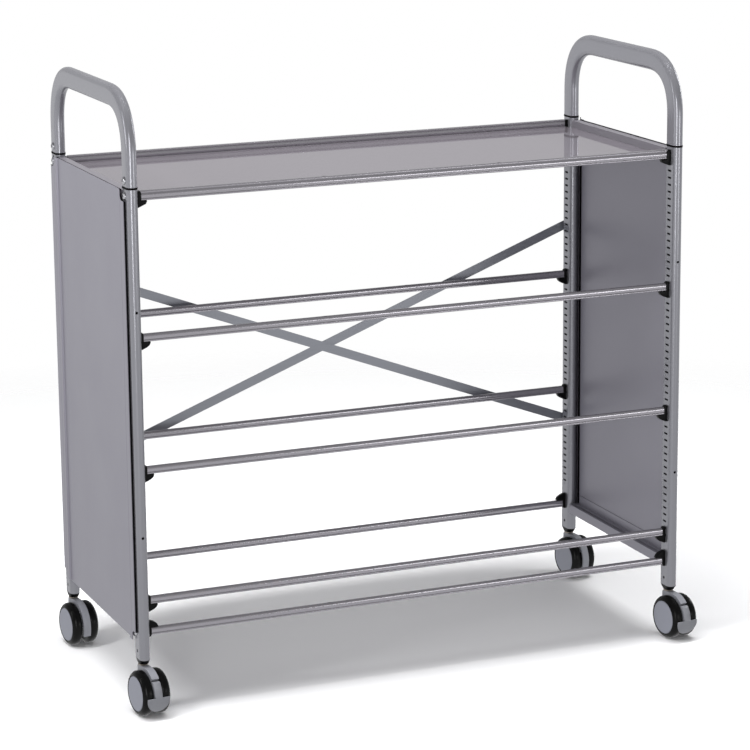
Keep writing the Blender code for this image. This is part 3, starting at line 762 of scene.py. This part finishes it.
def build_pedals():
    """Brake pedals whose foot ends in two blunt tips above a round lower edge."""
    upright = Vector((0, 0, 1))
    left = [(-0.0080, 0.0500), (-0.0064, 0.0030), (-0.0072, 0.0012), (-0.0185, 0.0002), (-0.0196, -0.0012)]
    left += [(-FOOT_HALF * cos(t), -0.0030 - FOOT_DROP * sin(t)) for t in
             [pi * k / 24 for k in range(1, 12)]]
    keep = left + [(0, -0.0030 - FOOT_DROP)] + [(-x, z) for x, z in reversed(left)]
    for side in SIDES:
        name = f"brake_pedal_{side}"
        low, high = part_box(name)
        across = Vector(JOINTS[f"roll_outer_front_{side}"]["axis"])
        axes = Matrix((across, upright, across.cross(upright))).transposed().to_4x4()
        place = (JOINTS[f"brake_{side}"]["pos_m"][0], (low.y + high.y) / 2, low.z + TIP_HEIGHT)
        cutter = prism([keep], 0.12)
        cutter.transform(Matrix.Translation(place) @ axes)
        mesh = boolean(frame["nodes"][name].data.copy(), cutter, "INTERSECT")
        add_piece(f"pedal_{side}", bevelled(mesh, 0.0009, 32), PEDAL_PLASTIC, name,
                  Matrix(), [name], 40)


# ---------------------------------------------------------------- finishes of the CAD nodes that stay

def dress_frame():
    for side in SIDES:
        dress_node(f"side_panel_{side}", SHEET_PAINT)
        # top cross rails painted darker and bottom ones lighter: the difference is painted shade and light
        dress_node(f"cross_rail_top_{side}", SHADED_CROSS_PAINT, 0.0008)
        dress_node(f"cross_rail_bottom_{side}", SHEET_PAINT, 0.0008)
        for end in ENDS:
            dress_node(f"castor_housing_{end}_{side}", HOUSING_PLASTIC, 0.0012, 30)
    dress_node("shelf_tray", TRAY_PAINT)
    for name in ("brace_falling", "brace_rising"):
        dress_node(name, BRACE_METAL)


# ---------------------------------------------------------------- floor, lights, camera

FLOOR_REACH = 2.4
FLOOR_FADE = (1.3, 2.3)                 # distances from the middle between which the floor fades away


def build_floor():
    """Pale round floor whose rim fades away into the white backdrop."""
    mesh = bpy.data.meshes.new("floor")
    work = bmesh.new()
    bmesh.ops.create_circle(work, cap_ends=True, radius=FLOOR_REACH, segments=96)
    work.to_mesh(mesh)
    work.free()
    shader = Shader("floor_paint", (250, 250, 251), 0.9)
    shader.main.inputs["Specular IOR Level"].default_value = 0.0
    distance = shader.node("ShaderNodeVectorMath", operation="LENGTH")
    shader.link(shader.place.outputs["Object"], distance.inputs[0])
    shader.link(shader.span(distance.outputs["Value"], 1.0, 0.0, *FLOOR_FADE), shader.main.inputs["Alpha"])
    mesh.materials.append(shader.material)
    floor = bpy.data.objects.new("floor", mesh)
    bpy.context.scene.collection.objects.link(floor)
    floor.visible_diffuse = False       # the bright floor would bleach the cart's lower half
    floor.visible_glossy = False


def add_light(name, place, target, size, power, glossy=True, diffuse=True):
    """Soft box that the camera never sees; it may be kept out of reflections or out of diffuse light."""
    data = bpy.data.lights.new(name, "AREA")
    data.shape = "RECTANGLE"
    data.size, data.size_y = size
    data.energy = power
    light = bpy.data.objects.new(name, data)
    bpy.context.scene.collection.objects.link(light)
    light.location = place
    light.rotation_euler = (Vector(target) - Vector(place)).to_track_quat("-Z", "Y").to_euler()
    light.visible_camera = False
    light.visible_glossy = glossy
    light.visible_diffuse = diffuse


BACKDROP = 1.0                          # what the camera sees behind the cart
# height of a direction (its z) and the studio's glow there: bright sweep below, darker ceiling
GLOW_STOPS = ((-0.12, 0.82), (0.02, 0.55), (0.20, 0.44), (0.50, 0.31), (1.00, 0.30))


def build_world():
    """White backdrop for the camera, a softer grey glow for everything that lights the cart."""
    world = bpy.data.worlds.new("studio")
    bpy.context.scene.world = world
    world.use_nodes = True
    tree = world.node_tree
    tree.nodes.clear()
    output = tree.nodes.new("ShaderNodeOutputWorld")
    mix = tree.nodes.new("ShaderNodeMixShader")
    seen = tree.nodes.new("ShaderNodeBackground")
    seen.inputs["Strength"].default_value = BACKDROP
    seen.inputs["Color"].default_value = (1, 1, 1, 1)
    glow = tree.nodes.new("ShaderNodeBackground")
    direction = tree.nodes.new("ShaderNodeTexCoord")
    split = tree.nodes.new("ShaderNodeSeparateXYZ")
    level = tree.nodes.new("ShaderNodeMapRange")
    level.inputs["From Min"].default_value = -1
    level.inputs["From Max"].default_value = 1
    ramp = tree.nodes.new("ShaderNodeValToRGB")
    while len(ramp.color_ramp.elements) < len(GLOW_STOPS):
        ramp.color_ramp.elements.new(0.5)
    for element, (height, value) in zip(ramp.color_ramp.elements, GLOW_STOPS):
        element.position = (height + 1) / 2
        element.color = (value * 0.985, value * 0.99, value, 1)
    path = tree.nodes.new("ShaderNodeLightPath")
    tree.links.new(direction.outputs["Generated"], split.inputs["Vector"])
    tree.links.new(split.outputs["Z"], level.inputs["Value"])
    tree.links.new(level.outputs["Result"], ramp.inputs["Fac"])
    tree.links.new(ramp.outputs["Color"], glow.inputs["Color"])
    tree.links.new(path.outputs["Is Camera Ray"], mix.inputs["Fac"])
    tree.links.new(glow.outputs["Background"], mix.inputs[1])
    tree.links.new(seen.outputs["Background"], mix.inputs[2])
    tree.links.new(mix.outputs["Shader"], output.inputs["Surface"])
    bpy.context.scene.view_settings.view_transform = "Standard"


def around(azimuth, distance, height):
    """Place at an azimuth in degrees, counted from the front (-Y) towards +X."""
    return (distance * sin(radians(azimuth)), -distance * cos(radians(azimuth)), height)


def build_lights():
    """Strip over the cart for the floor and its shadow, soft boxes round it for the highlights."""
    add_light("strip", (0, -0.08, 2.6), (0, -0.08, 0), (3.2, 0.30), 78, glossy=False)
    add_light("ceiling", (0, 0, 3.2), (0, 0, 0), (5, 5), 46, glossy=False)
    add_light("key", around(-35, 3.5, 0.95), (0, 0, 0.6), (0.6, 1.7), 24)
    add_light("rail_box", (1.45, -2.9, 0.50), (0.35, 0, 0.50), (1.1, 0.35), 6)
    add_light("panel_box", (-2.6, -0.5, 2.5), (-0.5, 0, 0.85), (0.8, 0.8), 33, glossy=False)
    add_light("right_card", around(100, 2.8, 1.5), (0.4, 0, 0.9), (0.5, 1.2), 12, diffuse=False)
    add_light("left_card", around(-97, 2.8, 1.3), (-0.5, 0, 0.9), (0.3, 1.0), 6, diffuse=False)


CAMERA_OFFSET = (-1.8465, -4.4504)      # from the middle of the four posts
CAMERA_HEIGHT = 1.6244
CAMERA_HEADING = radians(22.053)        # from +Y towards +X
CAMERA_DROP = radians(12.836)
CAMERA_ROLL = radians(-0.6485)
CAMERA_LENS = 137.66
CAMERA_SHIFT = (0.04, -0.04)


def build_camera():
    forward = Vector((sin(CAMERA_HEADING) * cos(CAMERA_DROP), cos(CAMERA_HEADING) * cos(CAMERA_DROP),
                      -sin(CAMERA_DROP)))
    right = Vector((cos(CAMERA_HEADING), -sin(CAMERA_HEADING), 0))
    up = right.cross(forward)
    across = cos(CAMERA_ROLL) * right + sin(CAMERA_ROLL) * up
    upwards = -sin(CAMERA_ROLL) * right + cos(CAMERA_ROLL) * up
    data = bpy.data.cameras.new("camera")
    data.lens = CAMERA_LENS
    data.sensor_width = 36
    data.shift_x, data.shift_y = CAMERA_SHIFT
    camera = bpy.data.objects.new("camera", data)
    bpy.context.scene.collection.objects.link(camera)
    place = (CENTRE.x + CAMERA_OFFSET[0], CENTRE.y + CAMERA_OFFSET[1], CAMERA_HEIGHT)
    facing = Matrix((across, upwards, -forward)).transposed().to_4x4()
    camera.matrix_world = Matrix.Translation(place) @ facing
    bpy.context.scene.camera = camera


build_camera()
build_posts()
build_slot_shade_liners()
build_caps()
build_handles()
build_joint_rings()
build_screws()
build_rails()
build_brackets()
build_edge_trims_and_gap_shade()
build_gap_shade_strips()
build_panel_ledges()
build_castors()
build_pedals()
dress_frame()
build_floor()
build_world()
build_lights()
